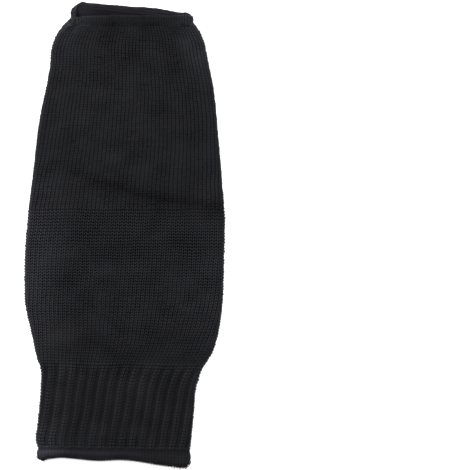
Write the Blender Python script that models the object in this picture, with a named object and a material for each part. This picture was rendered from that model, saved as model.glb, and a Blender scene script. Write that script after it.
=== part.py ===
"""A black knitted cut resistant sleeve, lying flat.

The sleeve is a knitted tube for the arm, from the wrist to above the elbow. It lies with its
back layer on the surface and its front layer above it, so each cross-section is a flat loop
with two rounded side folds. X runs across the sleeve, +Y towards the upper arm, +Z up, and
the origin is under the middle of the sleeve. Sizes in the tables are millimetres.
"""

import math
from collections import namedtuple

import bmesh
import bpy
import numpy as np

MM = 0.001

# Knit thickness, and the gap that neighbouring pieces keep.
BODY_WALL = 2.0
CUFF_WALL = 2.6
ROLL_WALL = 1.8
GAP = 0.3

# Side fold of a flat loop: how far it reaches in from the edge, and its share of the height.
FOLD_REACH = 5.0
FOLD_SHARE = 0.68

# The fine loop that the points are spread on: its steps across a layer and round a fold.
LAYER_STEPS = 120
TURN_STEPS = 60

# Points round a plain loop, and how much turning counts against length when they are spread:
# a radian of turning weighs as much as this many millimetres.
ROUND_POINTS = 44
TURN_LENGTH = 14.0

# The 2x1 rib of the cuff: two raised wales and one sunk wale make a rib.
RIBS_ROUND = 32
RIB_DEPTH = 0.9
RIB_STOPS = ((0.0, 1.0), (0.2, 0.12), (0.5, 0.0), (0.8, 0.12))

# One row for each cross-section, from the mouth to the wrist. The loop meets the left side
# fold at (x_left, y_left) and the right one at (x_right, y_right). height is the outer height
# of the loop, lift its underside above the surface, bow how far its middle runs ahead of the
# straight line, and lean_left and lean_right how much further up the arm the back layer
# reaches than the front layer.
Section = namedtuple(
    "Section",
    "y_left y_right x_left x_right height lift bow lean_left lean_right",
    defaults=(0.0, 0.0, 0.0, 0.0),
)

UPPER_ARM = (
    Section(169.1, 161.1, -37.6, 49.1, 11.4, 2.8, 1.4, 4.5, 2.2),
    Section(165.0, 157.0, -37.9, 49.4, 11.4, 2.8, 1.4, 4.5, 2.2),
    Section(162.2, 155.0, -41.6, 53.2, 11.8, 2.5, 1.2, 4.3, 2.1),
    Section(157.6, 151.6, -46.2, 56.8, 12.6, 1.7, 0.8, 3.6, 1.8),
    Section(151.0, 145.5, -50.9, 59.2, 13.6, 0.8, 0.4, 2.2, 1.2),
    Section(142.0, 137.5, -54.3, 61.0, 14.4, 0.2, 0.0, 0.9, 0.5),
    Section(128.0, 122.0, -56.0, 64.5, 15.0),
    Section(112.0, 102.0, -58.7, 67.7, 15.2, 0.0, -3.0),
    Section(93.0, 78.0, -62.6, 69.8, 15.4, 0.0, -5.0),
    Section(76.0, 54.0, -65.4, 71.7, 15.4, 0.0, -7.0),
    Section(64.0, 32.0, -66.7, 73.4, 15.4, 0.0, -8.0),
    Section(54.9, 21.2, -67.7, 75.0, 12.6, 0.0, -8.3),
)

FOREARM = (
    Section(54.6, 20.9, -67.7, 75.0, 12.6, 0.0, -8.3),
    Section(43.0, 9.0, -69.1, 75.2, 15.2, 0.0, -7.5),
    Section(28.0, -3.0, -71.0, 75.0, 15.8, 0.0, -6.0),
    Section(8.0, -18.0, -73.2, 74.5, 15.8, 0.0, -4.0),
    Section(-14.0, -34.0, -74.9, 73.9, 15.6, 0.0, -2.0),
    Section(-36.0, -48.0, -75.2, 73.4, 15.2),
    Section(-52.0, -60.0, -74.6, 72.3, 14.8),
    Section(-66.0, -71.0, -71.4, 70.4, 14.4),
    Section(-78.0, -81.0, -68.4, 67.9, 13.8),
    Section(-87.0, -89.0, -66.8, 64.6, 13.2),
    Section(-93.0, -95.0, -65.1, 60.6, 12.8),
)

CUFF = (
    Section(-93.3, -95.3, -65.0, 60.4, 12.8),
    Section(-101.0, -103.0, -62.8, 56.6, 12.6),
    Section(-112.0, -114.5, -62.9, 53.6, 12.6),
    Section(-128.0, -131.0, -63.9, 51.7, 12.6),
    Section(-146.0, -149.5, -65.8, 50.2, 12.4, 0.1, 0.8, -0.2, -2.2),
    Section(-158.0, -162.9, -65.2, 48.9, 12.0, 0.8, 2.0, -0.4, -6.0),
)

# The curl of the mouth's edge, and the welt at the wrist, as the points that the edge's
# cross-section passes through: out is measured from the wall's outer face, and along from
# the end of the tube, away from it.
EdgePoint = namedtuple("EdgePoint", "out along")

CURL_GAP = 1.0
CURL_TOP = 4.0
CURL_LIP = -3.5

WELT_LENGTH = 9.2
WELT_THICKNESS = 3.4
WELT_STEPS = 5
WELT_SHOULDER = 1.6

# The soft dents of the front layer. Each runs straight from one end to the other and fades
# out over its width. They begin at one share of the loop's height and are whole at another.
DENTS_BEGIN = 0.45
DENTS_WHOLE = 0.85
Dent = namedtuple("Dent", "x_from y_from x_to y_to depth width")

DENTS = (
    Dent(4.0, 127.0, 47.0, 104.0, 1.3, 11.0),
    Dent(-46.0, -70.0, -21.0, -89.0, 1.3, 9.0),
)

# The sRGB colour and the roughness of each piece's yarn.
Yarn = namedtuple("Yarn", "red green blue roughness")

YARNS = {
    "upper_arm_tube": Yarn(0.135, 0.138, 0.152, 0.92),
    "forearm_tube": Yarn(0.128, 0.130, 0.144, 0.92),
    "wrist_rib_cuff": Yarn(0.140, 0.142, 0.158, 0.90),
    "top_rolled_edge": Yarn(0.150, 0.152, 0.168, 0.92),
    "wrist_rolled_hem": Yarn(0.160, 0.158, 0.176, 0.88),
}

SHARP_ANGLE = math.radians(50)


def clear_scene():
    for thing in list(bpy.data.objects):
        bpy.data.objects.remove(thing, do_unlink=True)


def srgb_to_linear(channel):
    return channel / 12.92 if channel <= 0.04045 else ((channel + 0.055) / 1.055) ** 2.4


def yarn_material(name):
    yarn = YARNS[name]
    colour = [srgb_to_linear(channel) for channel in (yarn.red, yarn.green, yarn.blue)]
    material = bpy.data.materials.new(f"{name}_yarn")
    material.use_nodes = True
    shader = material.node_tree.nodes["Principled BSDF"]
    shader.inputs["Base Color"].default_value = (*colour, 1.0)
    shader.inputs["Roughness"].default_value = yarn.roughness
    shader.inputs["Metallic"].default_value = 0.0
    return material


def flat_loop(width, height):
    """A fine closed loop (x, z) about x = 0: flat below, folded at the sides, crowned above."""
    fold_height = FOLD_SHARE * height
    straight = width / 2 - FOLD_REACH
    across = np.linspace(-1.0, 1.0, LAYER_STEPS + 1)
    turn = np.linspace(-math.pi / 2, math.pi / 2, TURN_STEPS + 1)[1:-1]
    below = np.stack([across * straight, np.zeros_like(across)], axis=1)
    crown = fold_height + (height - fold_height) * (1 - across**4) ** 2
    above = np.stack([across * straight, crown], axis=1)[::-1]
    side = np.stack(
        [straight + FOLD_REACH * np.cos(turn), fold_height / 2 * (1 + np.sin(turn))], axis=1
    )
    other_side = (side * (-1, 1))[::-1]
    return np.concatenate([below, side, above, other_side])


def closed_steps(points):
    return np.linalg.norm(np.roll(points, -1, axis=0) - points, axis=1)


def at_shares(points, measure, shares):
    """The points of a closed loop where the running measure reaches each share of its sum."""
    total = np.concatenate([[0.0], np.cumsum(measure)])
    closed = np.concatenate([points, points[:1]])
    wanted = np.asarray(shares) * total[-1]
    return np.stack([np.interp(wanted, total, closed[:, k]) for k in range(2)], axis=1)


def by_turning(points):
    """The points of a plain loop, closer together where it bends."""
    steps = closed_steps(points)
    ahead = np.roll(points, -1, axis=0) - points
    heading = np.arctan2(ahead[:, 1], ahead[:, 0])
    turned = np.abs((np.roll(heading, -1) - heading + math.pi) % (2 * math.pi) - math.pi)
    shares = np.arange(ROUND_POINTS) / ROUND_POINTS
    return at_shares(points, steps + TURN_LENGTH * turned, shares)


def by_rib(points):
    """The points round the loop at each stop of each rib."""
    shares = [(rib + stop) / RIBS_ROUND for rib in range(RIBS_ROUND) for stop, _ in RIB_STOPS]
    return at_shares(points, closed_steps(points), shares)


def outward(points):
    """The unit normals of a loop that runs with its inside on the left."""
    along = np.roll(points, -1, axis=0) - np.roll(points, 1, axis=0)
    normal = np.stack([along[:, 1], -along[:, 0]], axis=1)
    return normal / np.linalg.norm(normal, axis=1)[:, None]


def dented(x, y, z, front):
    """The heights after the soft dents, which only the front layer has."""
    for dent in DENTS:
        start = np.array([dent.x_from, dent.y_from])
        run = np.array([dent.x_to, dent.y_to]) - start
        offset = np.stack([x, y], axis=1) - start
        share = np.clip(offset @ run / (run @ run), 0.0, 1.0)
        away = np.linalg.norm(offset - share[:, None] * run, axis=1)
        z = z - dent.depth * np.exp(-((away / dent.width) ** 2)) * front
    return z


def placed(section, loop, base):
    """The points of one cross-section in space. base is the outer loop that sets its course."""
    centre = (section.x_left + section.x_right) / 2
    half = (section.x_right - section.x_left) / 2
    across = np.clip(base[:, 0] / half, -1.0, 1.0)
    share = (across + 1) / 2
    middle = section.y_left + (section.y_right - section.y_left) * share
    lean = section.lean_left + (section.lean_right - section.lean_left) * share
    up = np.clip(base[:, 1] / section.height, 0.0, 1.0)
    y = middle + section.bow * (1 - across**2) + lean * (0.5 - up)
    x = centre + loop[:, 0]
    front = np.clip((up - DENTS_BEGIN) / (DENTS_WHOLE - DENTS_BEGIN), 0.0, 1.0)
    z = dented(x, y, section.lift + loop[:, 1], front)
    return np.stack([x, y, z], axis=1)


def rib_sinks():
    return RIB_DEPTH * np.array([sink for _ in range(RIBS_ROUND) for _, sink in RIB_STOPS])


def wall_rings(sections, wall, spread, sinks=0.0):
    """The outer rings from the first section to the last, then the inner ones back again."""
    outer, inner = [], []
    for section in sections:
        base = spread(flat_loop(section.x_right - section.x_left, section.height))
        normal = outward(base)
        sunk = base - normal * np.reshape(sinks, (-1, 1))
        outer.append(placed(section, sunk, base))
        inner.append(placed(section, base - normal * wall, base))
    return outer + inner[::-1]


def edge_rings(section, spread, edge, away):
    """The rings of an edge's cross-section, carried round the end of the tube."""
    base = spread(flat_loop(section.x_right - section.x_left, section.height))
    normal = outward(base)
    rings = []
    for point in edge:
        ring = placed(section, base + normal * point.out, base)
        ring[:, 1] += away * point.along
        rings.append(ring)
    return rings


def round_turn(out_centre, along_centre, radius, start, end, steps):
    """Edge points on an arc, from the start angle to the end angle in degrees."""
    angles = np.radians(np.linspace(start, end, steps))
    return [
        EdgePoint(out_centre + radius * math.cos(a), along_centre + radius * math.sin(a))
        for a in angles
    ]


def curl_edge():
    """The mouth's curl: up along the wall, over, and down outside it to a round lip."""
    turn_out = CURL_GAP / 2
    outer_radius = CURL_GAP / 2 + ROLL_WALL
    inner_radius = CURL_GAP / 2
    turn_along = CURL_TOP - outer_radius
    lip_out = CURL_GAP + ROLL_WALL / 2
    lip_along = CURL_LIP + ROLL_WALL / 2
    return [
        EdgePoint(-ROLL_WALL, GAP),
        *round_turn(turn_out, turn_along, outer_radius, 180, 0, 6),
        *round_turn(lip_out, lip_along, ROLL_WALL / 2, 0, -180, 4),
        *round_turn(turn_out, turn_along, inner_radius, 0, 180, 4),
        EdgePoint(0.0, GAP),
    ]


def welt_edge():
    """The wrist's welt: a doubled edge with a round end, a little proud of the cuff."""
    radius = WELT_THICKNESS / 2
    middle = radius - CUFF_WALL
    return [
        EdgePoint(middle - radius, GAP),
        *round_turn(middle, WELT_LENGTH - radius, radius, 180, 0, WELT_STEPS),
        EdgePoint(middle + radius, GAP + WELT_SHOULDER),
        EdgePoint(0.0, GAP),
    ]


def closed_skin(name, rings):
    """One closed body through the rings, in order and back to the first."""
    mesh = bpy.data.meshes.new(name)
    body = bmesh.new()
    rows = [[body.verts.new(point * MM) for point in ring] for ring in rings]
    count = len(rows[0])
    for this, following in zip(rows, rows[1:] + rows[:1]):
        for i in range(count):
            j = (i + 1) % count
            body.faces.new((this[i], this[j], following[j], following[i]))
    bmesh.ops.recalc_face_normals(body, faces=body.faces)
    if body.calc_volume(signed=True) < 0:
        bmesh.ops.reverse_faces(body, faces=body.faces)
    body.to_mesh(mesh)
    body.free()
    mesh.shade_smooth()
    mesh.set_sharp_from_angle(angle=SHARP_ANGLE)
    mesh.materials.append(yarn_material(name))
    piece = bpy.data.objects.new(name, mesh)
    bpy.context.scene.collection.objects.link(piece)
    return piece


def main():
    clear_scene()
    closed_skin("upper_arm_tube", wall_rings(UPPER_ARM, BODY_WALL, by_turning))
    closed_skin("forearm_tube", wall_rings(FOREARM, BODY_WALL, by_turning))
    closed_skin("wrist_rib_cuff", wall_rings(CUFF, CUFF_WALL, by_rib, rib_sinks()))
    mouth, wrist = UPPER_ARM[0], CUFF[-1]
    closed_skin("top_rolled_edge", edge_rings(mouth, by_turning, curl_edge(), 1))
    closed_skin("wrist_rolled_hem", edge_rings(wrist, by_turning, welt_edge(), -1))


main()
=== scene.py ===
import math
from collections import namedtuple

import bpy
import numpy as np
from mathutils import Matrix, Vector


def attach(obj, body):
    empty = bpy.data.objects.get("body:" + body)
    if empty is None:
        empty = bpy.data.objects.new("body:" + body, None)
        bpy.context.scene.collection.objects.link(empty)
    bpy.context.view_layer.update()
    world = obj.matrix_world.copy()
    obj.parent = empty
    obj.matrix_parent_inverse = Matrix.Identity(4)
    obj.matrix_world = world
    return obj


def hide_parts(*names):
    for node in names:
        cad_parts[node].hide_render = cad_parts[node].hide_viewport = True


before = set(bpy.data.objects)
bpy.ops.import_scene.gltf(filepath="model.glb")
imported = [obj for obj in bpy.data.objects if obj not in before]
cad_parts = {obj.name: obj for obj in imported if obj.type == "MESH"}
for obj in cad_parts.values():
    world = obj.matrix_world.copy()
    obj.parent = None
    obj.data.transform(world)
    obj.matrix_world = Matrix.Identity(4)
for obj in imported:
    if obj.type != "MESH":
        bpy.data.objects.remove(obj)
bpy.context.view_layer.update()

# Lengths are in millimetres unless a comment says otherwise; MM turns them into metres.
MM = 0.001
TURN = 2 * math.pi
rng = np.random.default_rng(35)

# The knit: stitches lie in columns, the wales, and in rows, the courses. Courses are counted
# from the mouth towards the wrist, the way the tube was knitted, so each V opens that way.
WALES = 96
BODY_WALL = 2.0
CUFF_WALL = 2.6

# One row for each cross-section of the flat loop: where its course meets the left and the
# right side fold, the loop's height and its lift off the floor, how far its middle runs ahead,
# and how much further up the arm the back layer reaches.
Section = namedtuple(
    "Section",
    "y_left y_right x_left x_right height lift bow lean_left lean_right",
    defaults=(0.0, 0.0, 0.0, 0.0),
)

SECTIONS = (
    Section(166.6, 161.6, -38.8, 49.9, 11.4, 2.8, 0.6, 10.4, 1.2),
    Section(162.6, 158.6, -39.5, 52.8, 11.4, 2.8, 0.6, 8.4, 1.2),
    Section(159.4, 156.0, -44.7, 54.7, 11.8, 2.5, 0.6, 4.4, 1.1),
    Section(155.8, 151.8, -48.0, 57.2, 12.6, 1.7, 0.5, 3.4, 0.9),
    Section(150.4, 145.5, -51.8, 59.9, 13.6, 0.8, 0.3, 2.4, 0.7),
    Section(142.0, 137.5, -55.0, 61.6, 14.4, 0.2, 0.0, 1.2, 0.4),
    Section(128.0, 124.5, -56.4, 64.1, 15.0),
    Section(112.0, 109.5, -59.3, 67.0, 15.2),
    Section(94.0, 92.5, -63.1, 68.9, 15.4),
    Section(76.0, 75.0, -66.0, 70.3, 15.4),
    Section(56.0, 56.0, -68.2, 72.1, 15.5),
    Section(38.0, 38.0, -70.3, 73.3, 15.5),
    Section(24.0, 24.0, -72.2, 74.7, 15.6),
    Section(14.0, 14.0, -73.1, 75.2, 15.7),
    Section(-4.0, -4.0, -74.8, 75.2, 15.8),
    Section(-20.0, -20.5, -75.5, 74.7, 15.6),
    Section(-38.0, -39.0, -75.6, 74.2, 15.4),
    Section(-52.0, -53.5, -75.1, 73.3, 14.8),
    Section(-60.0, -61.5, -73.6, 72.3, 14.6),
    Section(-68.0, -70.0, -71.6, 70.9, 14.3),
    Section(-78.0, -80.0, -69.2, 68.6, 13.8),
    Section(-87.0, -89.0, -67.6, 65.3, 13.2),
    Section(-93.0, -95.0, -65.9, 61.5, 12.8),
    Section(-101.0, -103.0, -63.9, 57.6, 12.6),
    Section(-112.0, -114.5, -63.8, 54.2, 12.6),
    Section(-128.0, -130.0, -64.9, 52.5, 12.6),
    Section(-144.0, -146.0, -66.7, 50.9, 12.4, 0.1, 0.3, -0.4, -0.4),
    Section(-153.5, -155.5, -67.6, 50.2, 12.2, 0.5, 0.5, -1.0, -1.0),
    Section(-158.6, -160.6, -66.2, 49.6, 12.0, 0.8, 0.5, -1.2, -1.2),
)
SECTION_Y = [(s.y_left + s.y_right) / 2 for s in SECTIONS]
MOUTH_Y = SECTION_Y[0]
WRIST_Y = SECTION_Y[-1]

# The side folds bulge this far past the flat layers, and stand up to this share of the
# loop's height.
FOLD_REACH = 5.0
FOLD_SHARE = 0.68
# A loop is about this much longer than twice its width, because it goes round the folds.
FOLDS_ADD = 11.0
# The back layer ends and the front one begins within these shares of the loop's height, and
# the dents only begin higher up, clear of the side folds.
FOLD_TURNS = (0.02, 0.68)
DENTS_GROW = (0.45, 0.85)

# The tube is made in pieces, which meet near these y: at the crease and where the cuff starts.
CREASE_CUT_Y = 22.0
CUFF_START_Y = -94.0

# How stitches look: how deep the furrows between their courses and the crotches of their Vs
# are, how far the Vs spread over their wale, with wider gaps between wales where they spread
# less, and how much painted shade darkens close stitches all over.
Look = namedtuple("Look", "furrow crotch spread dim")

# One row for each stretch of the tube: the mean y that it runs down to, the height of its
# courses and how its stitches look.
Stretch = namedtuple("Stretch", "down_to course look")
STRETCHES = (
    Stretch(82.0, 1.95, Look(0.42, 0.55, 0.76, 0.22)),
    Stretch(22.0, 1.88, Look(0.42, 0.58, 0.76, 0.26)),
    Stretch(-8.0, 2.23, Look(0.80, 1.00, 1.00, 0.04)),
    Stretch(-38.0, 2.10, Look(0.72, 0.90, 0.96, 0.03)),
    Stretch(-94.0, 2.10, Look(0.60, 0.80, 0.88, 0.06)),
    Stretch(-159.6, 2.33, Look(0.85, 0.95, 0.88, 0.0)),
)

# The tube spirals a little, as single knits do: how far its wales have drifted at each y.
Drift = namedtuple("Drift", "y drift")
DRIFTS = (
    Drift(170.0, 0.0),
    Drift(110.0, 0.0),
    Drift(75.0, 0.6),
    Drift(55.0, 2.2),
    Drift(35.0, 4.2),
    Drift(20.0, 5.4),
    Drift(0.0, 6.0),
    Drift(-48.0, 8.2),
    Drift(-85.0, 12.1),
    Drift(-130.0, 14.7),
    Drift(-162.0, 17.3),
)

# Painted light: towards the side folds the yarn is drawn paler: how much at each y, at the left
# fold and at the right one, over which shares of the half width this fades in, and how much
# of it the inside has.
PaintedLight = namedtuple("PaintedLight", "y left right")
PAINTED_LIGHTS = (
    PaintedLight(168.0, 0.60, 0.60),
    PaintedLight(145.0, 0.30, 0.62),
    PaintedLight(110.0, 0.05, 0.10),
    PaintedLight(70.0, 0.10, 0.12),
    PaintedLight(35.0, 0.26, 0.14),
    PaintedLight(15.0, 0.42, 0.14),
    PaintedLight(-80.0, 0.36, 0.16),
    PaintedLight(-110.0, 0.20, 0.08),
    PaintedLight(-135.0, 0.35, 0.08),
    PaintedLight(-150.0, 1.00, 0.15),
    PaintedLight(-160.0, 0.70, 0.15),
)
PAINTED_LIGHT_FADES = (0.48, 1.0)
INSIDE_PAINTED_LIGHT = 0.3
# Painted shade: the plain inner face is drawn as dark all over as a groove of this depth,
# from 0 to 1.
INSIDE_PAINTED_SHADE = 0.35

# The crease across the elbow runs between two points, and its middle lies off the straight
# line between them by its bow. From the upper arm the cloth steps down into it, and towards
# the wrist it rises gently again, over the distances above and below. At its left end it has
# only the least share of its depth. Its shade is painted: its yarn is drawn darker.
Crease = namedtuple("Crease", "x_left y_left x_right y_right bow depth above below least shade")
CREASE = Crease(-67.7, 60.0, 75.0, 20.5, -9.5, 3.0, 5.0, 15.0, 0.4, 0.32)
# It grows to its full depth between these shares of its way to the right.
CREASE_GROWS = (0.0, 0.45)

# The softer dents of the front layer, each from one point to another.
Dent = namedtuple("Dent", "x_from y_from x_to y_to depth width")
DENTS = (
    Dent(4.0, 127.0, 47.0, 104.0, 1.3, 11.0),
    Dent(-46.0, -70.0, -21.0, -89.0, 1.3, 9.0),
    Dent(-36.4, 166.0, -38.4, 155.0, 1.6, 2.6),
)
# The front layer is never quite flat. It has slow swells: how fast each one runs across and
# along the sleeve and where it starts, in radians, and its height.
Wave = namedtuple("Wave", "along_x along_y phase height")
WAVES = (
    Wave(0.17, 0.06, 0.4, 0.16),
    Wave(-0.09, 0.21, 2.1, 0.16),
    Wave(0.31, -0.16, 4.4, 0.10),
    Wave(0.05, 0.38, 1.2, 0.08),
)

# Hand feel: no two patches of a knit are alike. Their stitches stand out more or less and
# sit a little off their place, by these shares of a stitch.
PATCH_WALES = 4
PATCH_COURSES = 5
PATCH_RELIEF = 0.22
PATCH_SWAY = (0.07, 0.14)

# One stitch, as rings of points along its course. Each leg of the V starts near the middle
# of the wale and ends near its side. The sinks say how deep each point lies, as a share of
# the relief: in the gap between wales, on the leg's two edges and in the V's middle.
Ring = namedtuple("Ring", "along leg_at leg_half gap outer inner middle")
PLAIN_RINGS = (
    Ring(0.00, 0.33, 0.070, 1.00, 1.00, 0.92, 1.00),
    Ring(0.27, 0.29, 0.085, 1.00, 0.12, 0.00, 0.70),
    Ring(0.56, 0.23, 0.085, 0.95, 0.00, 0.05, 0.85),
    Ring(0.82, 0.18, 0.075, 1.00, 0.36, 0.46, 0.95),
)
# A purl stitch, as it shows in the sunk wale of the rib: a bar across the wale, then a dip.
PURL_SINKS = (0.25, 0.40, 0.90, 0.60)
POINTS_A_WALE = 6
# How far the V's outer ends lead its middle, in courses.
V_RISE = 0.48
BODY_RELIEF = 1.35
CUFF_RELIEF = 1.6
# Stitches differ in depth by this share of it.
UNEVEN = 0.10

# The plain inner face is coarser: it has so many points a wale, and a ring every so many
# courses.
LINING_POINTS = 2
LINING_COURSES = 2

# Small steps over which slopes are measured: in turns round the tube, in millimetres down it,
# in turns round its ends and as a share of the way round an edge's section.
TURN_STEP = 1e-4
DOWN_STEP = -0.05
END_STEP = 1e-3
ROUND_STEP = 0.004


def eased(value, limits):
    """Runs smoothly from 0 at the lower limit to 1 at the upper one."""
    t = np.clip((value - limits[0]) / (limits[1] - limits[0]), 0.0, 1.0)
    return t * t * (3 - 2 * t)


def between(knots, values, at):
    """A smooth curve through (knot, value) pairs, read at the given places. It runs straight
    on past its ends."""
    knots, values, at = (np.asarray(a, float) for a in (knots, values, at))
    if knots[0] > knots[-1]:
        knots, values = knots[::-1], values[::-1]
    slopes = np.gradient(values, knots)
    place = np.clip(np.searchsorted(knots, at) - 1, 0, len(knots) - 2)
    step = knots[place + 1] - knots[place]
    t = np.clip((at - knots[place]) / step, 0.0, 1.0)
    before = np.minimum(at - knots[0], 0.0) * slopes[0]
    after = np.maximum(at - knots[-1], 0.0) * slopes[-1]
    return (
        before
        + after
        + (1 + 2 * t) * (1 - t) ** 2 * values[place]
        + t * (1 - t) ** 2 * step * slopes[place]
        + t * t * (3 - 2 * t) * values[place + 1]
        + t * t * (t - 1) * step * slopes[place + 1]
    )


def read_table(rows, at):
    """A table's other columns, smoothly read at places of its first column."""
    columns = np.array(rows).T
    return [between(columns[0], column, at) for column in columns[1:]]


def unit(vectors):
    """Vectors of the same directions, of length 1."""
    return vectors / np.linalg.norm(vectors, axis=-1, keepdims=True)


def knitted_courses():
    """The mean y of each course's line and how its stitches look, with two courses more than
    the tube has."""
    line = [MOUTH_Y]
    looks = [STRETCHES[0].look]
    for stretch in STRETCHES:
        start = line[-1]
        count = round((start - stretch.down_to) / stretch.course)
        line += [start + (stretch.down_to - start) * (k + 1) / count for k in range(count)]
        looks += [stretch.look] * count
    for _ in range(2):
        line.append(2 * line[-1] - line[-2])
        looks.append(looks[-1])
    return np.array(line), np.array(looks)


def course_near(y):
    """The number of the course whose line lies nearest to the mean y."""
    return int(np.argmin(np.abs(COURSE_Y - y)))


def patches_of(size):
    """Random values for the patches of the tube, which close round it."""
    rows = len(COURSE_Y) // PATCH_COURSES + 2
    return rng.normal(0.0, size, (rows, WALES // PATCH_WALES))


def read_patches(values, across, place):
    """The patches' values, smoothly read at wales and courses."""
    row, column = place / PATCH_COURSES, across / PATCH_WALES
    top, left = np.floor(row).astype(int), np.floor(column).astype(int)
    down, over = eased(row - top, (0.0, 1.0)), eased(column - left, (0.0, 1.0))
    rows, columns = values.shape
    below, right = np.clip(top + 1, 0, rows - 1), (left + 1) % columns
    top, left = np.clip(top, 0, rows - 1), left % columns
    upper = values[top, left] * (1 - over) + values[top, right] * over
    lower = values[below, left] * (1 - over) + values[below, right] * over
    return upper * (1 - down) + lower * down


COURSE_Y, COURSE_LOOKS = knitted_courses()
CREASE_COURSE = course_near(CREASE_CUT_Y)
CUFF_COURSE = course_near(CUFF_START_Y)
LAST_COURSE = course_near(WRIST_Y)
STITCH_UNEVEN = rng.normal(0.0, UNEVEN, (len(COURSE_Y) + 1, WALES))
PATCHES = [patches_of(size) for size in (PATCH_RELIEF, *PATCH_SWAY)]


def section_at(mean_y):
    """Each column of the section table, smoothly read at the mean y."""
    return Section(*(between(SECTION_Y, column, mean_y) for column in zip(*SECTIONS)))


def loop_point(section, turn):
    """The flat loop's x and z at turn, which runs from 0 to 1 from the lower left."""
    half = (section.x_right - section.x_left) / 2 - FOLD_REACH
    fold = FOLD_SHARE * section.height
    radius = (FOLD_REACH + fold / 2) / 2
    layer, bend = 2 * half, math.pi * radius
    run = np.mod(turn, 1.0) * 2 * (layer + bend)
    below = run < layer
    right = ~below & (run < layer + bend)
    above = ~below & ~right & (run < 2 * layer + bend)
    angle = np.where(right, (run - layer) / radius, (run - 2 * layer - bend) / radius + math.pi)
    angle = angle - math.pi / 2
    across = np.clip((layer + bend + half - run) / half, -1.0, 1.0)
    crown = fold + (section.height - fold) * (1 - across**4) ** 2
    x = np.select(
        [below, above],
        [run - half, across * half],
        np.where(right, half, -half) + FOLD_REACH * np.cos(angle),
    )
    z = np.select([below, above], [0 * run, crown], fold / 2 * (1 + np.sin(angle)))
    return x, z


def crease_depth(x, y):
    """How deep the crease across the elbow is at places of the front layer."""
    share = np.clip((x - CREASE.x_left) / (CREASE.x_right - CREASE.x_left), 0.0, 1.0)
    across = 2 * share - 1
    line = CREASE.y_left + (CREASE.y_right - CREASE.y_left) * share
    line = line + CREASE.bow * (1 - across**2)
    away = (y - line) / np.where(y > line, CREASE.above, CREASE.below)
    grown = CREASE.least + (1 - CREASE.least) * eased(share, CREASE_GROWS)
    return CREASE.depth * grown * np.exp(-(away**2))


def dented(x, y, z, front):
    """The heights z of the front layer with its dents and its slow swells."""
    for dent in DENTS:
        run = np.array([dent.x_to - dent.x_from, dent.y_to - dent.y_from])
        along = ((x - dent.x_from) * run[0] + (y - dent.y_from) * run[1]) / (run @ run)
        along = np.clip(along, 0.0, 1.0)
        away = np.hypot(x - dent.x_from - along * run[0], y - dent.y_from - along * run[1])
        z = z - dent.depth * np.exp(-((away / dent.width) ** 2)) * front
    for wave in WAVES:
        swell = np.sin(wave.along_x * x + wave.along_y * y + wave.phase)
        z = z + wave.height * swell * front
    return z


def tube_surface(turn, mean_y):
    """Points on the tube's outer face. turn and mean_y are arrays of one shape."""
    section = section_at(mean_y)
    x, z = loop_point(section, turn)
    half = (section.x_right - section.x_left) / 2
    across = np.clip(x / half, -1.0, 1.0)
    share = (across + 1) / 2
    lean = section.lean_left + (section.lean_right - section.lean_left) * share
    y = section.y_left + (section.y_right - section.y_left) * share
    y = y + section.bow * (1 - across**2)
    y = y + lean * (0.5 - eased(z / section.height, FOLD_TURNS))
    front = eased(z / section.height, DENTS_GROW)
    x = x + (section.x_left + section.x_right) / 2
    z = z * (1 - crease_depth(x, y) / section.height)
    return np.stack([x, y, dented(x, y, z, front) + section.lift], axis=-1)


def painted_side_light(points):
    """How much painted light makes the yarn paler at points of the tube, from 0 to 1."""
    section = section_at(points[..., 1])
    across = 2 * (points[..., 0] - section.x_left) / (section.x_right - section.x_left) - 1
    left, right = read_table(PAINTED_LIGHTS, points[..., 1])
    painted_lift = left * eased(-across, PAINTED_LIGHT_FADES) + right * eased(across, PAINTED_LIGHT_FADES)
    return np.clip(painted_lift, 0.0, 1.0)


def normals_of(surface, turn, place, onwards):
    """Outward normals of a surface; onwards is a small step in the way it was knitted."""
    round_it = surface(turn + TURN_STEP, place) - surface(turn - TURN_STEP, place)
    along = surface(turn, place + onwards) - surface(turn, place - onwards)
    return unit(np.cross(round_it, along))


def course_to_y(place):
    """The mean y of places between courses."""
    return np.interp(place, np.arange(len(COURSE_Y)), COURSE_Y)


def wale_to_turn(across, y):
    """Wales to turns of the loop, with the tube's spiral. Wale 0 is at the lower left."""
    section = section_at(y)
    girth = 2 * (section.x_right - section.x_left) + FOLDS_ADD
    (drift,) = read_table(DRIFTS, y)
    return across / WALES + drift / girth


def stitch_grid(courses, looks, cyclic=False):
    """Wale, course and sink of every point of a run of courses, ring by ring, and the course
    that each ring belongs to. looks has a row for each course."""
    rings = len(PLAIN_RINGS)
    order = np.arange(courses * rings + (0 if cyclic else 1))
    course = order // rings
    ring = Ring(*np.array(PLAIN_RINGS)[order % rings].T)
    look = Look(*np.asarray(looks)[course].T)
    furrow = np.where(order % rings == 0, look.furrow, 1.0)
    near = (0.5 - ring.leg_at - ring.leg_half) * look.spread
    far = (0.5 - ring.leg_at + ring.leg_half) * look.spread
    gap = 0 * near
    at = np.stack([gap, 0.5 - far, 0.5 - near, gap + 0.5, 0.5 + near, 0.5 + far], axis=1)
    outer, inner = ring.outer * furrow, ring.inner * furrow
    middle = ring.middle * look.crotch
    sink = np.stack([ring.gap, outer, inner, middle, inner, outer], axis=1)
    across = np.arange(WALES)[None, :, None] + at[:, None, :]
    place = (course + ring.along)[:, None] + V_RISE * np.abs(at - 0.5) * 2
    shape = (len(order), WALES * POINTS_A_WALE)
    place = np.broadcast_to(place[:, None, :], across.shape).reshape(shape)
    sink = np.broadcast_to(sink[:, None, :], across.shape).reshape(shape)
    return across.reshape(shape), place, sink, course


def purl_bars(rings):
    """How deep a purl stitch lies at each of so many rings."""
    return np.resize(PURL_SINKS, rings)[:, None]


def placed(name, data):
    """A new object in the scene."""
    thing = bpy.data.objects.new(name, data)
    bpy.context.scene.collection.objects.link(thing)
    return thing


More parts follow.
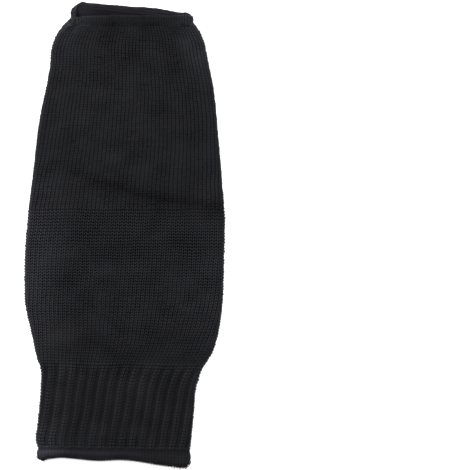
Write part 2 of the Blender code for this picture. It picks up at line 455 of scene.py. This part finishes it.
def ring_quads(first, rings, points, closed):
    """Quads between rings of points, from the vertex first on. If closed, the last ring joins
    the first one."""
    row = np.arange(rings if closed else rings - 1)[:, None]
    column = np.arange(points)[None, :]
    onward, ahead = (row + 1) % rings, (column + 1) % points
    corners = ((row, column), (row, ahead), (onward, ahead), (onward, column))
    return np.stack([first + r * points + c for r, c in corners], axis=-1).reshape(-1, 4)


def quad_stitches(rings, points, closed, points_a_wale, rings_a_course, first_course):
    """Where the corners of the same quads lie, in wales and courses."""
    row = np.arange(rings if closed else rings - 1)[:, None]
    column = np.arange(points)[None, :]
    corners = ((column, row), (column + 1, row), (column + 1, row + 1), (column, row + 1))
    steps = [np.stack(np.broadcast_arrays(c, r), axis=-1) for c, r in corners]
    steps = np.stack(steps, axis=-2).reshape(-1, 4, 2).astype(float)
    return steps / (points_a_wale, rings_a_course) + (0.0, first_course)


def cut_ends(rings, fine, back, coarse):
    """Triangles that close the wall at both ends of a tube, between the stitched face's first
    or last ring of fine points and the inner face's ring of coarse ones."""
    start = rings * fine
    ratio = fine // coarse
    k = np.arange(coarse)
    ends = []
    for outer_ring, inner_ring, turned in ((0, 0, False), (rings - 1, back - 1, True)):
        near = start + inner_ring * coarse + k
        ahead = start + inner_ring * coarse + (k + 1) % coarse
        fan = []
        for step in range(ratio):
            p = outer_ring * fine + k * ratio + step
            q = outer_ring * fine + (k * ratio + step + 1) % fine
            fan.append(np.stack([q, p, near], axis=1))
        fan.append(np.stack([ahead, q, near], axis=1))
        fan = np.concatenate(fan)
        ends.append(fan[:, ::-1] if turned else fan)
    return np.concatenate(ends)


def mesh_of(name, points, quads, triangles):
    """A mesh of quads, which are smooth, and triangles, which are flat."""
    corners = np.concatenate([quads.reshape(-1), triangles.reshape(-1)]).astype(np.int32)
    sizes = np.concatenate([np.full(len(quads), 4), np.full(len(triangles), 3)])
    starts = np.concatenate([[0], np.cumsum(sizes)[:-1]]).astype(np.int32)
    mesh = bpy.data.meshes.new(name)
    mesh.vertices.add(len(points))
    mesh.vertices.foreach_set("co", points.astype(np.float32).reshape(-1))
    mesh.loops.add(len(corners))
    mesh.loops.foreach_set("vertex_index", corners)
    mesh.polygons.add(len(sizes))
    mesh.polygons.foreach_set("loop_start", starts)
    mesh.update(calc_edges=True)
    mesh.polygons.foreach_set("use_smooth", sizes == 4)
    return mesh


def knit_mesh(name, outer, inner, sink, first, last, materials, purl_side=None):
    """A piece from the rings of its stitched face and, for a tube, the coarser rings of its
    plain inner face, which has the second material. With no inner rings the stitched rings
    close on themselves, and purl_side says which of their quads have the second material."""
    rings, fine = outer.shape[:2]
    closed = inner is None
    points = [outer.reshape(-1, 3)]
    quads = [ring_quads(0, rings, fine, closed)]
    stitches = [quad_stitches(rings, fine, closed, POINTS_A_WALE, len(PLAIN_RINGS), first)]
    second = [np.zeros(len(quads[0])) if purl_side is None else purl_side.reshape(-1)]
    # Painted shade: the deeper a point of the stitches lies, the darker its colour is drawn.
    groove = [np.clip(sink, 0.0, 1.0).reshape(-1)]
    # Painted light: the yarn is drawn paler towards the side folds.
    painted_light_share = [painted_side_light(outer).reshape(-1)]
    triangles = np.zeros((0, 3), int)
    if not closed:
        back, coarse = inner.shape[:2]
        across, along = coarse / WALES, (back - 1) / (last - first)
        points.append(inner.reshape(-1, 3))
        quads.append(ring_quads(rings * fine, back, coarse, False)[:, ::-1])
        stitches.append(quad_stitches(back, coarse, False, across, along, first)[:, ::-1])
        second.append(np.ones(len(quads[1])))
        # The inner face gets painted shade all over, and a share of the side folds' painted light.
        groove.append(np.full(back * coarse, INSIDE_PAINTED_SHADE))
        painted_light_share.append(INSIDE_PAINTED_LIGHT * painted_side_light(inner).reshape(-1))
        triangles = cut_ends(rings, fine, back, coarse)
    all_points = np.concatenate(points) * MM
    # Nothing reaches below the floor.
    all_points[:, 2] = np.maximum(all_points[:, 2], 0.0)
    mesh = mesh_of(name, all_points, np.concatenate(quads), triangles)
    for material in materials:
        mesh.materials.append(material)
    slots = np.concatenate(second + [np.zeros(len(triangles))]).astype(np.int32)
    mesh.polygons.foreach_set("material_index", slots)
    for attribute, values in (("groove", groove), ("painted_side_light", painted_light_share)):
        layer = mesh.attributes.new(attribute, "FLOAT", "POINT")
        layer.data.foreach_set("value", np.concatenate(values).astype(np.float32))
    layer = mesh.uv_layers.new(name="stitches")
    flat = np.concatenate([*(s.reshape(-1, 2) for s in stitches), np.zeros((3 * len(triangles), 2))])
    layer.data.foreach_set("uv", flat.astype(np.float32).reshape(-1))
    mesh.validate()
    return placed(name, mesh)


# The cuff's 2x1 rib: two knit wales stand up, one of them a little lower, and a purl wale lies
# sunk between them and the next two. Each row gives a place across the three wales and how far
# it lies behind the crest, as a share of the rib's depth.
Rib = namedtuple("Rib", "wale sunk")
RIB = (
    Rib(0.5, 0.0),
    Rib(1.0, 0.55),
    Rib(1.5, 1.0),
    Rib(2.0, 0.8),
    Rib(2.5, 0.28),
    Rib(3.0, 0.4),
)
RIB_WALES = 3.0
RIB_DEPTH = 1.1
# The rib rises over so many of the cuff's first courses and slackens over so many of its last
# ones, to this share of its depth. Purl bars come in between these shares of it.
RIB_FADES_IN = 4.0
RIB_FADES_OUT = 8.0
RIB_LEAST = 0.7
PURL_COMES = (0.3125, 0.9375)
# How much painted shade darkens the sunk places, and the cuff's first courses, which are
# pulled tight.
RIB_SHADE = 0.43
START_SHADE = 0.12


def rib_sink(across, place, courses):
    """How far each place of the rib lies behind the crest of its raised wales, from 0 to 1."""
    rise = np.clip(place / RIB_FADES_IN, 0.0, 1.0)
    slack = np.clip((courses - place) / RIB_FADES_OUT, RIB_LEAST, 1.0)
    sunk = np.interp(across, [r.wale for r in RIB], [r.sunk for r in RIB], period=RIB_WALES)
    return sunk * rise * slack


def inside_piece(place, courses):
    """0 at the piece's first and last course, so that stitches meet the next piece's there."""
    return np.clip(np.minimum(place, courses - place), 0.0, 1.0)


def lining(first, last, wall):
    """The plain inner face of the tube between two courses."""
    rows = max(2, (last - first) // LINING_COURSES + 1)
    points = LINING_POINTS * WALES
    place = np.linspace(first, last, rows)[:, None] + np.zeros(points)
    across = np.arange(points)[None, :] / LINING_POINTS + 0 * place
    y = course_to_y(place)
    turn = wale_to_turn(across, y)
    return tube_surface(turn, y) - normals_of(tube_surface, turn, y, DOWN_STEP) * wall


def tube_piece(name, first, last, wall, relief, materials, ribbed=False):
    """A stretch of the tube between two courses, stitched outside and plain inside."""
    courses = last - first
    across, place, sink, course = stitch_grid(courses, COURSE_LOOKS[first : last + 1])
    patch, sway, lag = (read_patches(p, across, place + first) for p in PATCHES)
    y = course_to_y(place + first + lag * inside_piece(place, courses))
    turn = wale_to_turn(across + sway, y)
    uneven = np.repeat(STITCH_UNEVEN[course + first], POINTS_A_WALE, axis=1)
    if ribbed:
        sunk = rib_sink(across, place, courses)
        bars = np.interp(sunk, PURL_COMES, (0.0, 1.0))
        sink = sink + bars * (purl_bars(len(across)) - sink)
    depth = relief * (1 + patch) * (sink + uneven * (1 - sink))
    # Painted shade: close stitches are drawn darker all over.
    dim = Look(*COURSE_LOOKS[course + first].T).dim[:, None]
    sink = dim + (1 - dim) * sink
    if ribbed:
        depth = depth + RIB_DEPTH * (1 + patch) * sunk
        # Painted shade in the sunk wales and over the cuff's first courses.
        start = np.clip(1 - place / RIB_FADES_IN, 0.0, 1.0)
        sink = np.clip(sink + RIB_SHADE * sunk + START_SHADE * start, 0.0, 1.0)
    outward = normals_of(tube_surface, turn, y, DOWN_STEP)
    outer = tube_surface(turn, y) - outward * depth[..., None]
    # Painted shade: the yarn in and near the crease is drawn darker.
    folded = crease_depth(outer[..., 0], outer[..., 1]) / CREASE.depth
    sink = sink + CREASE.shade * folded**2 * (1 - sink)
    return knit_mesh(name, outer, lining(first, last, wall), sink, first, last, materials)


# Both edges wander: how far each reaches past the end of the tube on the back and on the
# front layer, and how much of its roll is left on the front, at each share of the way from
# the left fold to the right one.
Reach = namedtuple("Reach", "share back front roll")
MOUTH_REACH = (
    Reach(0.000, 1.0, 1.6, 0.6),
    Reach(0.020, 2.2, 2.0, 0.3),
    Reach(0.045, 4.0, 2.4, 0.0),
    Reach(0.075, 5.4, 2.8, 0.0),
    Reach(0.110, 5.0, 3.0, 0.0),
    Reach(0.22, 4.9, 3.0, 0.0),
    Reach(0.42, 5.3, 3.0, 0.0),
    Reach(0.52, 5.3, 3.0, 0.0),
    Reach(0.61, 6.1, 3.0, 0.0),
    Reach(0.71, 6.2, 3.0, 0.0),
    Reach(0.82, 5.7, 3.4, 0.0),
    Reach(0.91, 5.2, 4.2, 0.0),
    Reach(0.97, 5.6, 4.4, 0.2),
    Reach(1.00, 4.0, 3.6, 0.4),
)
WRIST_REACH = (
    Reach(0.00, 8.2, 8.0, 1.0),
    Reach(0.03, 9.9, 9.6, 1.0),
    Reach(0.07, 8.8, 8.4, 1.0),
    Reach(0.15, 7.6, 7.2, 1.0),
    Reach(0.25, 8.3, 7.9, 1.0),
    Reach(0.32, 9.1, 8.7, 1.0),
    Reach(0.40, 9.6, 9.2, 1.0),
    Reach(0.55, 8.7, 8.3, 0.9),
    Reach(0.63, 9.3, 8.9, 0.8),
    Reach(0.71, 10.5, 10.1, 0.6),
    Reach(0.79, 11.9, 11.5, 0.35),
    Reach(0.87, 12.8, 12.4, 0.25),
    Reach(0.94, 13.5, 13.2, 0.25),
    Reach(0.98, 12.8, 12.4, 0.3),
    Reach(1.00, 9.8, 9.5, 0.5),
)

# An edge: the y of the tube's end that it closes, its section on the back layer and at the
# side folds, its section on the front layer, both along the sleeve and outwards, how far it
# reaches, the height of its courses, the depth of its stitches and how they look, how much of
# the purl side shows where it is rolled, how much darker its grooves are painted where it lies
# flat, and how many of its first courses, where it joins the tube, get painted shade.
Edge = namedtuple("Edge", "mean_y rolled front reach course relief look purl front_grooves join")
JOIN_SHADE = 0.6

# The mouth curls outwards. Its section runs up the inside, over the top and down the outside
# to the lip of the curl, which lies almost flush on the front layer.
MOUTH = Edge(
    mean_y=MOUTH_Y,
    rolled=(
        (-1.6, -2.0),
        (1.2, -2.6),
        (3.6, -2.4),
        (5.3, -1.0),
        (5.3, 1.7),
        (3.0, 2.8),
        (-2.4, 2.8),
        (-4.6, 2.0),
        (-3.6, 0.4),
        (-1.2, -0.5),
    ),
    front=(
        (-1.4, -1.8),
        (1.2, -2.4),
        (3.2, -2.1),
        (4.5, -1.4),
        (4.8, -0.4),
        (3.8, 0.2),
        (2.2, 0.4),
        (-1.0, 0.4),
        (-5.0, -0.1),
        (-3.8, -0.7),
        (-1.2, -1.0),
    ),
    reach=MOUTH_REACH,
    course=1.95,
    relief=1.3,
    look=Look(0.25, 0.55, 0.76, 0.2),
    purl=1.0,
    front_grooves=0.0,
    join=3.2,
)

# The wrist ends in a welt, whose thick upper edge fades out towards the right.
WRIST = Edge(
    mean_y=WRIST_Y,
    rolled=(
        (0.8, -0.9),
        (-0.9, -0.9),
        (-2.0, -0.6),
        (-3.2, -0.1),
        (-4.8, 0.3),
        (-6.2, 0.1),
        (-7.4, -0.3),
        (-8.9, -0.8),
        (-9.4, -1.7),
        (-7.6, -2.6),
        (0.8, -2.6),
    ),
    front=(
        (0.8, -1.0),
        (-0.4, -0.9),
        (-1.4, -0.8),
        (-2.8, -0.7),
        (-4.2, -0.6),
        (-5.6, -0.5),
        (-7.0, -0.6),
        (-8.8, -0.8),
        (-9.4, -1.7),
        (-7.6, -2.6),
        (0.8, -2.6),
    ),
    reach=WRIST_REACH,
    course=1.55,
    relief=0.6,
    look=Look(0.7, 0.6, 0.9, 0.0),
    purl=0.0,
    front_grooves=1.0,
    join=2.4,
)

# A section's path is rounded by cutting this share off both ends of each side, so many times,
# and is then read at so many even steps.
CORNER_CUT = 0.25
CORNER_ROUNDS = 4
SECTION_STEPS = 400


def section_path(corners):
    """The length of a closed smooth path through the corners of an edge's cross-section, and
    its points, along the sleeve and outwards, at even shares of it."""
    points = np.array(corners, float)
    keep = 1 - CORNER_CUT
    for _ in range(CORNER_ROUNDS):
        ahead = np.roll(points, -1, axis=0)
        ends = (keep * points + CORNER_CUT * ahead, CORNER_CUT * points + keep * ahead)
        points = np.stack(ends, axis=1).reshape(-1, 2)
    points = np.concatenate([points, points[:1]])
    lengths = np.concatenate([[0.0], np.cumsum(np.linalg.norm(np.diff(points, axis=0), axis=1))])
    at = np.linspace(0.0, lengths[-1], SECTION_STEPS + 1)
    return lengths[-1], np.stack([np.interp(at, lengths, points[:, k]) for k in (0, 1)], axis=1)


def edge_surface(edge):
    """The length of an edge's section, its surface, which is that section swept round the
    tube's end, and how flat it lies. It is fully rolled on the back layer."""
    length, full = section_path(edge.rolled)
    flat = section_path(edge.front)[1]
    section = section_at(np.array(edge.mean_y))
    shares_round = np.linspace(0.0, 1.0, len(full))
    middle = (section.x_left + section.x_right) / 2
    half = (section.x_right - section.x_left) / 2
    full_end, flat_end = (np.abs(path[:, 0]).max() for path in (full, flat))
    past = 1.0 if edge.mean_y > 0 else -1.0

    def foot(turn):
        """Where the edge stands on the tube's end, how far it reaches and how flat it lies."""
        base = tube_surface(turn, 0 * turn + edge.mean_y)
        share = (np.clip((base[..., 0] - middle) / half, -1.0, 1.0) + 1) / 2
        back, front, roll = read_table(edge.reach, share)
        up = eased((base[..., 2] - section.lift) / section.height, FOLD_TURNS)
        return base, back + (front - back) * up, up * (1 - roll)

    def lying(turn):
        return foot(turn)[2]

    def surface(turn, along):
        base, reach, flatter = foot(turn)
        level = 0 * turn + edge.mean_y
        ahead = tube_surface(turn + END_STEP, level) - tube_surface(turn - END_STEP, level)
        outward = unit(np.stack([ahead[..., 2], 0 * turn, -ahead[..., 0]], axis=-1))
        run = np.mod(along, 1.0)
        u, v = (
            np.interp(run, shares_round, full[:, k]) * (1 - flatter)
            + np.interp(run, shares_round, flat[:, k]) * flatter
            for k in (0, 1)
        )
        end = full_end * (1 - flatter) + flat_end * flatter
        u = np.where(u * past > 0, u * reach / end, u)
        return base + outward * v[..., None] + np.stack([0 * u, u, 0 * u], axis=-1)

    return length, surface, lying


def edge_piece(name, edge, materials):
    """A knitted edge: a closed ring of stitches swept round the tube's end."""
    length, surface, lying_flat = edge_surface(edge)
    courses = int(round(length / edge.course))
    across, place, sink, course = stitch_grid(courses, [edge.look] * courses, cyclic=True)
    along = place / courses
    patch = read_patches(PATCHES[0], across, place)
    turn = wale_to_turn(across, 0 * along + edge.mean_y)
    uneven = np.repeat(rng.normal(0.0, UNEVEN, (courses, WALES))[course], POINTS_A_WALE, axis=1)
    lying = lying_flat(turn)
    purl = (1 - lying) * edge.purl
    sink = sink + purl * (purl_bars(len(across)) - sink)
    depth = edge.relief * (1 + patch) * (sink + uneven * (1 - sink))
    # Painted shade: close stitches are drawn darker all over, the grooves darker where the edge lies
    # flat and lighter where it is rolled, and the first courses at the join darker still.
    dim = edge.look.dim
    sink = dim + (1 - dim) * sink * (1 + edge.front_grooves * (lying - 0.5))
    shade = JOIN_SHADE * (1 - eased(place, (0.5 * edge.join, edge.join)))
    sink = np.maximum(sink, shade)
    outward = normals_of(surface, turn, along, ROUND_STEP)
    outer = surface(turn, along) - outward * depth[..., None]
    return knit_mesh(name, outer, None, sink, 0, courses, materials, purl_side=purl > 0.5)


# The welt's raw edge is overlocked: one thread winds round it in loops this far apart, which
# reach this far up the sleeve and outwards and differ in size by a share of it.
LOOP_PITCH = 2.1
LOOP_STEPS = 10
LOOP_UP = 1.2
LOOP_OUT = 1.5
LOOP_UNEVEN = 0.10
THREAD_RADIUS = 0.36
THREAD_SIDES = 5
# Its two ends hang out of the seam: where they come out, and how far they run on. Each starts
# so far up inside the seam and so high above the floor, sinks a little and sways sideways.
Tail = namedtuple("Tail", "x y run_x run_y")
TAILS = (
    Tail(36.0, -173.2, 0.7, -2.0),
    Tail(40.4, -172.8, 0.8, -2.9),
)
TAIL_HIDDEN = 2.0
TAIL_HEIGHT = 1.6
TAIL_SINKS = 1.2
TAIL_SWAY = 0.5
TAIL_BEND = 3
TAIL_POINTS = 7


def lowest_share(edge):
    """The share of the edge's section at which it reaches furthest down the sleeve."""
    path = section_path(edge.rolled)[1]
    return np.argmin(path[:, 0]) / (len(path) - 1)


def seam_path(edge):
    """The overlock thread's way round the edge, loop by loop."""
    section = section_at(np.array(edge.mean_y))
    loops = int(2 * (section.x_right - section.x_left) / LOOP_PITCH)
    count = loops * LOOP_STEPS
    turn = np.arange(count) / count
    angle = TURN * np.arange(count) / LOOP_STEPS
    lowest = edge_surface(edge)[1](turn, 0 * turn + lowest_share(edge))
    run = np.roll(lowest, -1, axis=0) - np.roll(lowest, 1, axis=0)
    outward = unit(np.stack([run[:, 2], 0 * turn, -run[:, 0]], axis=-1))
    size = np.repeat(1 + rng.normal(0.0, LOOP_UNEVEN, loops), LOOP_STEPS)[:, None]
    path = lowest + outward * (LOOP_OUT * np.sin(angle)[:, None]) * size
    path[:, 1] += LOOP_UP * (1 - np.cos(angle)) * size[:, 0] - THREAD_RADIUS
    path[:, 2] = np.maximum(path[:, 2], THREAD_RADIUS)
    return path


def tail_path(tail):
    """The way of one end of the thread, out of the seam."""
    along = np.linspace(0.0, 1.0, TAIL_POINTS)[:, None]
    start = np.array([tail.x, tail.y + TAIL_HIDDEN, TAIL_HEIGHT])
    run = np.array([tail.run_x, tail.run_y - TAIL_HIDDEN, -TAIL_SINKS])
    return start + run * along + np.array([TAIL_SWAY, 0.0, 0.0]) * np.sin(TAIL_BEND * along)


def thread_rings(path):
    """Rings of points round the thread's path."""
    ahead = unit(np.gradient(path, axis=0))
    side = unit(np.cross(ahead, (0.0, 0.0, 1.0)) + 1e-6)
    over = np.cross(side, ahead)
    angle = TURN * np.arange(THREAD_SIDES) / THREAD_SIDES
    ring = side[:, None] * np.cos(angle)[:, None] + over[:, None] * np.sin(angle)[:, None]
    return path[:, None] + THREAD_RADIUS * ring


def overlock_piece(name, edge, material):
    """The overlock thread, wound round the lower edge of the welt, with its two tails."""
    points, faces, first = [], [], 0
    for path, closed in [(seam_path(edge), True)] + [(tail_path(t), False) for t in TAILS]:
        faces += ring_quads(first, len(path), THREAD_SIDES, closed).tolist()
        if not closed:
            last = first + THREAD_SIDES * (len(path) - 1)
            faces.append([first + k for k in range(THREAD_SIDES)])
            faces.append([last + k for k in reversed(range(THREAD_SIDES))])
        points.append(thread_rings(path).reshape(-1, 3))
        first += len(points[-1])
    mesh = bpy.data.meshes.new(name)
    mesh.from_pydata((np.concatenate(points) * MM).tolist(), [], faces)
    mesh.polygons.foreach_set("use_smooth", [True] * len(mesh.polygons))
    mesh.materials.append(material)
    return placed(name, mesh)


# The pale colour that the painted light mixes into the yarn towards the side folds.
PAINTED_LIGHT_COLOUR = "#4a4b53"
# Yarn takes its dye in patches about this far across; the noise between these values runs
# from the darker dye to the lighter one.
DYE_PATCH = 16.67
DYE_RANGE = (0.3, 0.7)
# Its fibres are really some 0.02 mm thick. They are drawn as coarse as this, so that they
# still break up the light at the size of the picture, and stand out by this much.
FIBRE = 0.3846
FIBRE_RELIEF = 0.2
# How much the plies stand out of the yarn.
PLY_RELIEF = 0.12
BUMP_STRENGTH = 0.5
# Shade gathers faster near a groove's rim than at its bottom.
GROOVE_CURVE = 0.7
# Spun yarn is matt: a rough surface, little shine, and a faint sheen from its fuzz. The
# shader's default IOR, 1.5, is near enough to polyester's.
YARN_ROUGHNESS = 0.9
YARN_SHINE = 0.15
YARN_SHEEN = 0.05
SHEEN_ROUGHNESS = 0.5

# How yarn winds, in radians for each wale and each course. On the knit side two plies wind
# round it about three times in a stitch; the purl side shows each course as one row of arcs.
PLIES = (1.6 * TURN, 3.0 * TURN, 0.0)
PURL = (0.0, 1.0 * TURN, 0.0)

# A yarn: its finish, its lighter and its darker dye, the colour of the painted shade in its
# grooves, how much fuzz it has and how it winds.
Yarn = namedtuple("Yarn", "finish light dark deep fuzz winds")
# Polyester fibres spun into yarn, dyed black and knitted plain. Their ends stand out all over,
# so the eye sees no gloss, only soft grey loops over grooves, painted an almost black shade.
BODY_YARN = Yarn("spun_polyester_plain_knit", "#2d2e34", "#24252a", "#020203", 1.0, PLIES)
# The same knit from its purl side, inside the tube, where little light comes: a shaded copy of
# the yarn, with painted shade that makes it nearly one dark tone, with shallow rows of arcs.
PURL_YARN = Yarn("spun_polyester_purl_side", "#19171d", "#131116", "#0d0b10", 0.2, PURL)
# The purl side where it curls out into the light at the mouth: a lit copy of the purl yarn,
# whose painted light makes it paler and a little warmer.
LIT_YARN = Yarn("spun_polyester_purl_side_lit", "#3a373e", "#2e2c31", "#141217", 0.8, PURL)
# The same yarn knitted as a rib, which the cuff's elastic pulls together. Its colour is drawn
# lighter than the plain knit's, as painted light for the light its raised wales catch.
RIB_YARN = Yarn("spun_polyester_rib_knit", "#3a3b43", "#303137", "#030304", 1.0, PLIES)
# Elastic covered with fine filaments and knitted close into the welt: smoother than the spun
# yarn, charcoal, with faint rows.
WELT_YARN = Yarn("covered_elastic_welt", "#26272d", "#212227", "#060607", 0.8, PURL)
# Sewing thread, wound over the raw edge by the overlocker: thin, dark and slightly brown.
SEAM_THREAD = Yarn("overlock_thread", "#1e171a", "#120d0f", "#0e0a0c", 0.3, PURL)

# Sockets of the colour mix node, which Blender names alike for every kind of value.
MIX_FACTOR, MIX_FROM, MIX_TO, MIX_RESULT = 0, 6, 7, 2


def add(tree, kind, settings=(), links=()):
    """Adds a node with its settings, by attribute or input name, and the links into it."""
    node = tree.nodes.new(kind)
    for key, value in dict(settings).items():
        if isinstance(key, str) and hasattr(node, key):
            setattr(node, key, value)
        else:
            node.inputs[key].default_value = value
    for key, source in dict(links).items():
        tree.links.new(source, node.inputs[key])
    return node


def linear(hex_colour):
    """An sRGB hex colour as linear red, green and blue, with full alpha."""
    channels = [int(hex_colour[k : k + 2], 16) / 255 for k in (1, 3, 5)]
    red_green_blue = [c / 12.92 if c <= 0.04045 else ((c + 0.055) / 1.055) ** 2.4 for c in channels]
    return (*red_green_blue, 1)


def yarn_material(yarn):
    """The look of a yarn: patches of dye, painted light that makes it paler towards the side
    folds, painted shade in its grooves, with fibres and plies in relief."""
    material = bpy.data.materials.new(yarn.finish)
    material.use_nodes = True
    tree = material.node_tree
    shader = tree.nodes["Principled BSDF"]
    shader.inputs["Roughness"].default_value = YARN_ROUGHNESS
    shader.inputs["Specular IOR Level"].default_value = YARN_SHINE * yarn.fuzz
    shader.inputs["Sheen Weight"].default_value = YARN_SHEEN * yarn.fuzz
    shader.inputs["Sheen Roughness"].default_value = SHEEN_ROUGHNESS
    place = add(tree, "ShaderNodeTexCoord").outputs["Object"]
    patches = add(
        tree,
        "ShaderNodeTexNoise",
        {"Scale": 1 / (DYE_PATCH * MM), "Detail": 4.0},
        {"Vector": place},
    )
    dye = add(tree, "ShaderNodeValToRGB", {}, {"Fac": patches.outputs["Fac"]})
    for stop, position, colour in zip(dye.color_ramp.elements, DYE_RANGE, (yarn.dark, yarn.light)):
        stop.position = position
        stop.color = linear(colour)
    painted_lift = add(tree, "ShaderNodeAttribute", {"attribute_name": "painted_side_light"}).outputs["Fac"]
    painted_light_mix = add(
        tree,
        "ShaderNodeMix",
        {"data_type": "RGBA", MIX_TO: linear(PAINTED_LIGHT_COLOUR)},
        {MIX_FACTOR: painted_lift, MIX_FROM: dye.outputs["Color"]},
    )
    # Painted shade: the colour is mixed towards the shade colour where the grooves lie.
    groove = add(tree, "ShaderNodeAttribute", {"attribute_name": "groove"}).outputs["Fac"]
    shade = add(tree, "ShaderNodeMath", {"operation": "POWER", 1: GROOVE_CURVE}, {0: groove})
    with_painted_shade = add(
        tree,
        "ShaderNodeMix",
        {"data_type": "RGBA", MIX_TO: linear(yarn.deep)},
        {MIX_FACTOR: shade.outputs["Value"], MIX_FROM: painted_light_mix.outputs[MIX_RESULT]},
    )
    tree.links.new(with_painted_shade.outputs[MIX_RESULT], shader.inputs["Base Color"])
    stitch = add(tree, "ShaderNodeUVMap", {"uv_map": "stitches"}).outputs["UV"]
    wound = add(
        tree, "ShaderNodeVectorMath", {"operation": "DOT_PRODUCT", 1: yarn.winds}, {0: stitch}
    )
    twist = add(tree, "ShaderNodeMath", {"operation": "SINE"}, {0: wound.outputs["Value"]})
    fibres = add(
        tree,
        "ShaderNodeTexNoise",
        {"Scale": 1 / (FIBRE * MM), "Detail": 3.0},
        {"Vector": place},
    )
    fibre_bump = add(
        tree,
        "ShaderNodeBump",
        {"Strength": BUMP_STRENGTH, "Distance": FIBRE_RELIEF * MM},
        {"Height": fibres.outputs["Fac"]},
    )
    ply_bump = add(
        tree,
        "ShaderNodeBump",
        {"Strength": BUMP_STRENGTH, "Distance": PLY_RELIEF * MM},
        {"Height": twist.outputs["Value"], "Normal": fibre_bump.outputs["Normal"]},
    )
    tree.links.new(ply_bump.outputs["Normal"], shader.inputs["Normal"])
    return material


def build_sleeve():
    """The whole sleeve: four stretches of plain tube, the cuff, both edges and the seam."""
    body, purl, rib, lit, welt, thread = (
        yarn_material(yarn)
        for yarn in (BODY_YARN, PURL_YARN, RIB_YARN, LIT_YARN, WELT_YARN, SEAM_THREAD)
    )
    middle = CREASE_COURSE // 2
    forearm_middle = (CREASE_COURSE + CUFF_COURSE) // 2
    # Each stretch of plain tube: its first and last course, the node it stands for, and its
    # girth and length in metres as it was cut flat.
    cuts = (
        ("upper_arm_knit_top", 0, middle, "upper_arm_tube", 0.245, 0.072),
        ("upper_arm_knit_elbow", middle, CREASE_COURSE, "upper_arm_tube", 0.288, 0.071),
        ("forearm_knit_elbow", CREASE_COURSE, forearm_middle, "forearm_tube", 0.304, 0.060),
        ("forearm_knit_wrist", forearm_middle, CUFF_COURSE, "forearm_tube", 0.292, 0.060),
    )
    pieces = []
    for name, first, last, node, girth, length in cuts:
        piece = tube_piece(name, first, last, BODY_WALL, BODY_RELIEF, (body, purl))
        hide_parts(node)
        pieces.append(piece)
    seam = overlock_piece("wrist_overlock_thread", WRIST, thread)
    cuff = tube_piece(
        "cuff_rib_knit", CUFF_COURSE, LAST_COURSE, CUFF_WALL, CUFF_RELIEF, (rib, purl), ribbed=True
    )
    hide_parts("wrist_rib_cuff")
    # The curl's rolled purl side gets the lit purl yarn: painted light.
    curl = edge_piece("mouth_curled_edge", MOUTH, (body, lit))
    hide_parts("top_rolled_edge")
    band = edge_piece("wrist_welt", WRIST, (welt,))
    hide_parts("wrist_rolled_hem")
    pieces += [cuff, curl, band, seam]
    for piece in pieces:
        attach(piece, "root")


# The photograph's camera looks straight down. Its middle is right of the sleeve's, and a
# pixel covers this many millimetres at the height of the side folds.
PIXEL = 0.75
PHOTO_SIDE = 470
PHOTO_MIDDLE = 235.0
SLEEVE_MIDDLE_X = 124.85
SLEEVE_MIDDLE_Y = 236.0
EYE_HEIGHT = 1500.0
FOLD_PLANE = 6.0
SENSOR = 36.0
FARTHEST_SEEN = 10000.0


def place_camera():
    """The camera above the middle of the photograph."""
    data = bpy.data.cameras.new("camera")
    data.sensor_width = SENSOR
    data.lens = SENSOR * (EYE_HEIGHT - FOLD_PLANE) / (PHOTO_SIDE * PIXEL)
    data.clip_end = FARTHEST_SEEN * MM
    camera = placed("camera", data)
    camera.location = (
        (PHOTO_MIDDLE - SLEEVE_MIDDLE_X) * PIXEL * MM,
        (SLEEVE_MIDDLE_Y - PHOTO_MIDDLE) * PIXEL * MM,
        EYE_HEIGHT * MM,
    )
    bpy.context.scene.camera = camera


# The studio, in metres and watts: two softboxes beyond the mouth, the smaller one to the left,
# white light from all round, and an opal table that glows faintly, because the sleeve lies on
# pure white in the photograph.
Softbox = namedtuple("Softbox", "name place aim size power")
SOFTBOXES = (
    Softbox("softbox_left", (-1.05, 0.85, 0.95), (0, 0, 0), 0.7, 32.0),
    Softbox("softbox_right", (1.3, 0.8, 1.0), (0.1, 0, 0), 1.2, 20.0),
)
WHITE = (1, 1, 1, 1)
ROOM_LIGHT = 0.5
TABLE_SIDE = 8.0
TABLE_COLOUR = (0.93, 0.93, 0.93, 1)
TABLE_ROUGHNESS = 0.8
TABLE_GLOW = 0.75


def place_softbox(softbox):
    """A square lamp that faces its aim."""
    data = bpy.data.lights.new(softbox.name, "AREA")
    data.shape = "SQUARE"
    data.size = softbox.size
    data.energy = softbox.power
    light = placed(softbox.name, data)
    light.location = softbox.place
    facing = Vector(softbox.aim) - Vector(softbox.place)
    light.rotation_euler = facing.to_track_quat("-Z", "Y").to_euler()


def studio():
    """Light and floor."""
    scene = bpy.context.scene
    scene.view_settings.view_transform = "Standard"
    world = bpy.data.worlds.new("studio")
    world.use_nodes = True
    world.node_tree.nodes["Background"].inputs["Color"].default_value = WHITE
    world.node_tree.nodes["Background"].inputs["Strength"].default_value = ROOM_LIGHT
    scene.world = world
    for softbox in SOFTBOXES:
        place_softbox(softbox)
    material = bpy.data.materials.new("opal_light_table")
    material.use_nodes = True
    shader = material.node_tree.nodes["Principled BSDF"]
    shader.inputs["Base Color"].default_value = TABLE_COLOUR
    shader.inputs["Roughness"].default_value = TABLE_ROUGHNESS
    shader.inputs["Emission Color"].default_value = WHITE
    shader.inputs["Emission Strength"].default_value = TABLE_GLOW
    bpy.ops.mesh.primitive_plane_add(size=TABLE_SIDE, location=(0, 0, 0))
    floor = bpy.context.object
    floor.name = "floor"
    floor.data.materials.append(material)


build_sleeve()
place_camera()
studio()
